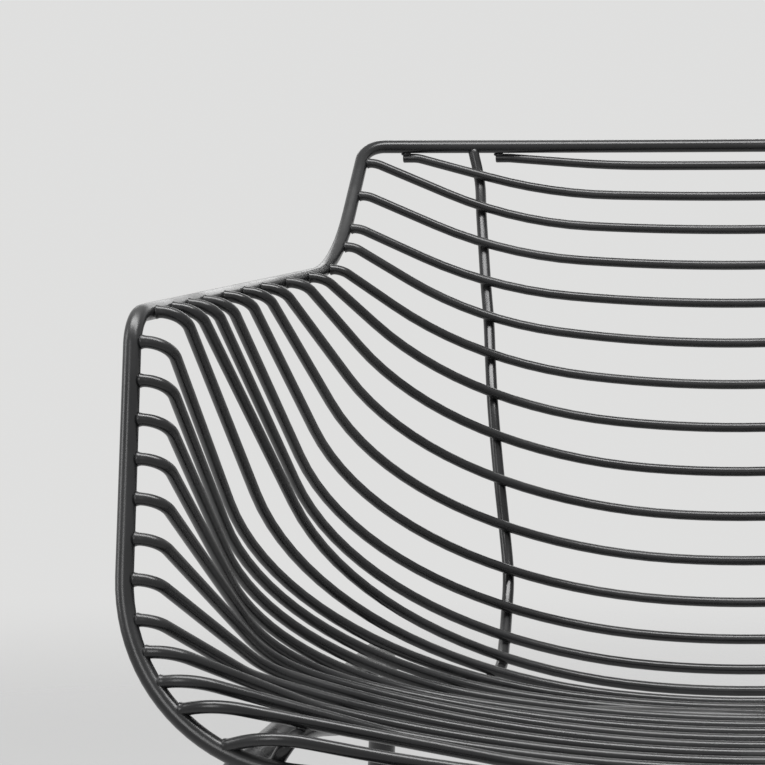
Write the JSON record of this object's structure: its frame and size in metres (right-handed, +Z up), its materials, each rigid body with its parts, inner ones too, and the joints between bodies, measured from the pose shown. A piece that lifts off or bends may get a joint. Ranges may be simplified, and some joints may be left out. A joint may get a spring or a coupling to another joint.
{
  "type": "wire mesh chair",
  "caption": "Low armchair with a bucket shell of bent steel cross wires welded to a closed rim rod, on a bent tube base with plastic glides.",
  "frame": {"origin": "floor level, under the middle of the chair's bounding box", "axes": "+Z up, front of the seat towards -Y, +X to the right of someone looking at the front from -Y"},
  "size_m": [0.544, 0.6296, 0.7565],
  "materials": {
    "coated_steel": "satin black powder coat",
    "glide_plastic": "matt black moulded plastic"
  },
  "bodies": {
    "root": {"rim_rod": "coated_steel", "cross_wire_01": "coated_steel", "cross_wire_02": "coated_steel", "cross_wire_03": "coated_steel", "cross_wire_04": "coated_steel", "cross_wire_05": "coated_steel", "cross_wire_06": "coated_steel", "cross_wire_07": "coated_steel", "cross_wire_08": "coated_steel", "cross_wire_09": "coated_steel", "cross_wire_10": "coated_steel", "cross_wire_11": "coated_steel", "cross_wire_12": "coated_steel", "cross_wire_13": "coated_steel", "cross_wire_14": "coated_steel", "cross_wire_15": "coated_steel", "cross_wire_16": "coated_steel", "cross_wire_17": "coated_steel", "cross_wire_18": "coated_steel", "cross_wire_19": "coated_steel", "cross_wire_20": "coated_steel", "cross_wire_21": "coated_steel", "cross_wire_22": "coated_steel", "cross_wire_23": "coated_steel", "cross_wire_24": "coated_steel", "cross_wire_25": "coated_steel", "cross_wire_26": "coated_steel", "cross_wire_27": "coated_steel", "cross_wire_28": "coated_steel", "stringer_left": "coated_steel", "stringer_right": "coated_steel", "side_frame_left": "coated_steel", "side_frame_right": "coated_steel", "crossbar_front": "coated_steel", "crossbar_rear": "coated_steel", "glide_front_left": "glide_plastic", "glide_front_right": "glide_plastic", "glide_rear_left": "glide_plastic", "glide_rear_right": "glide_plastic"}
  },
  "joints": []
}
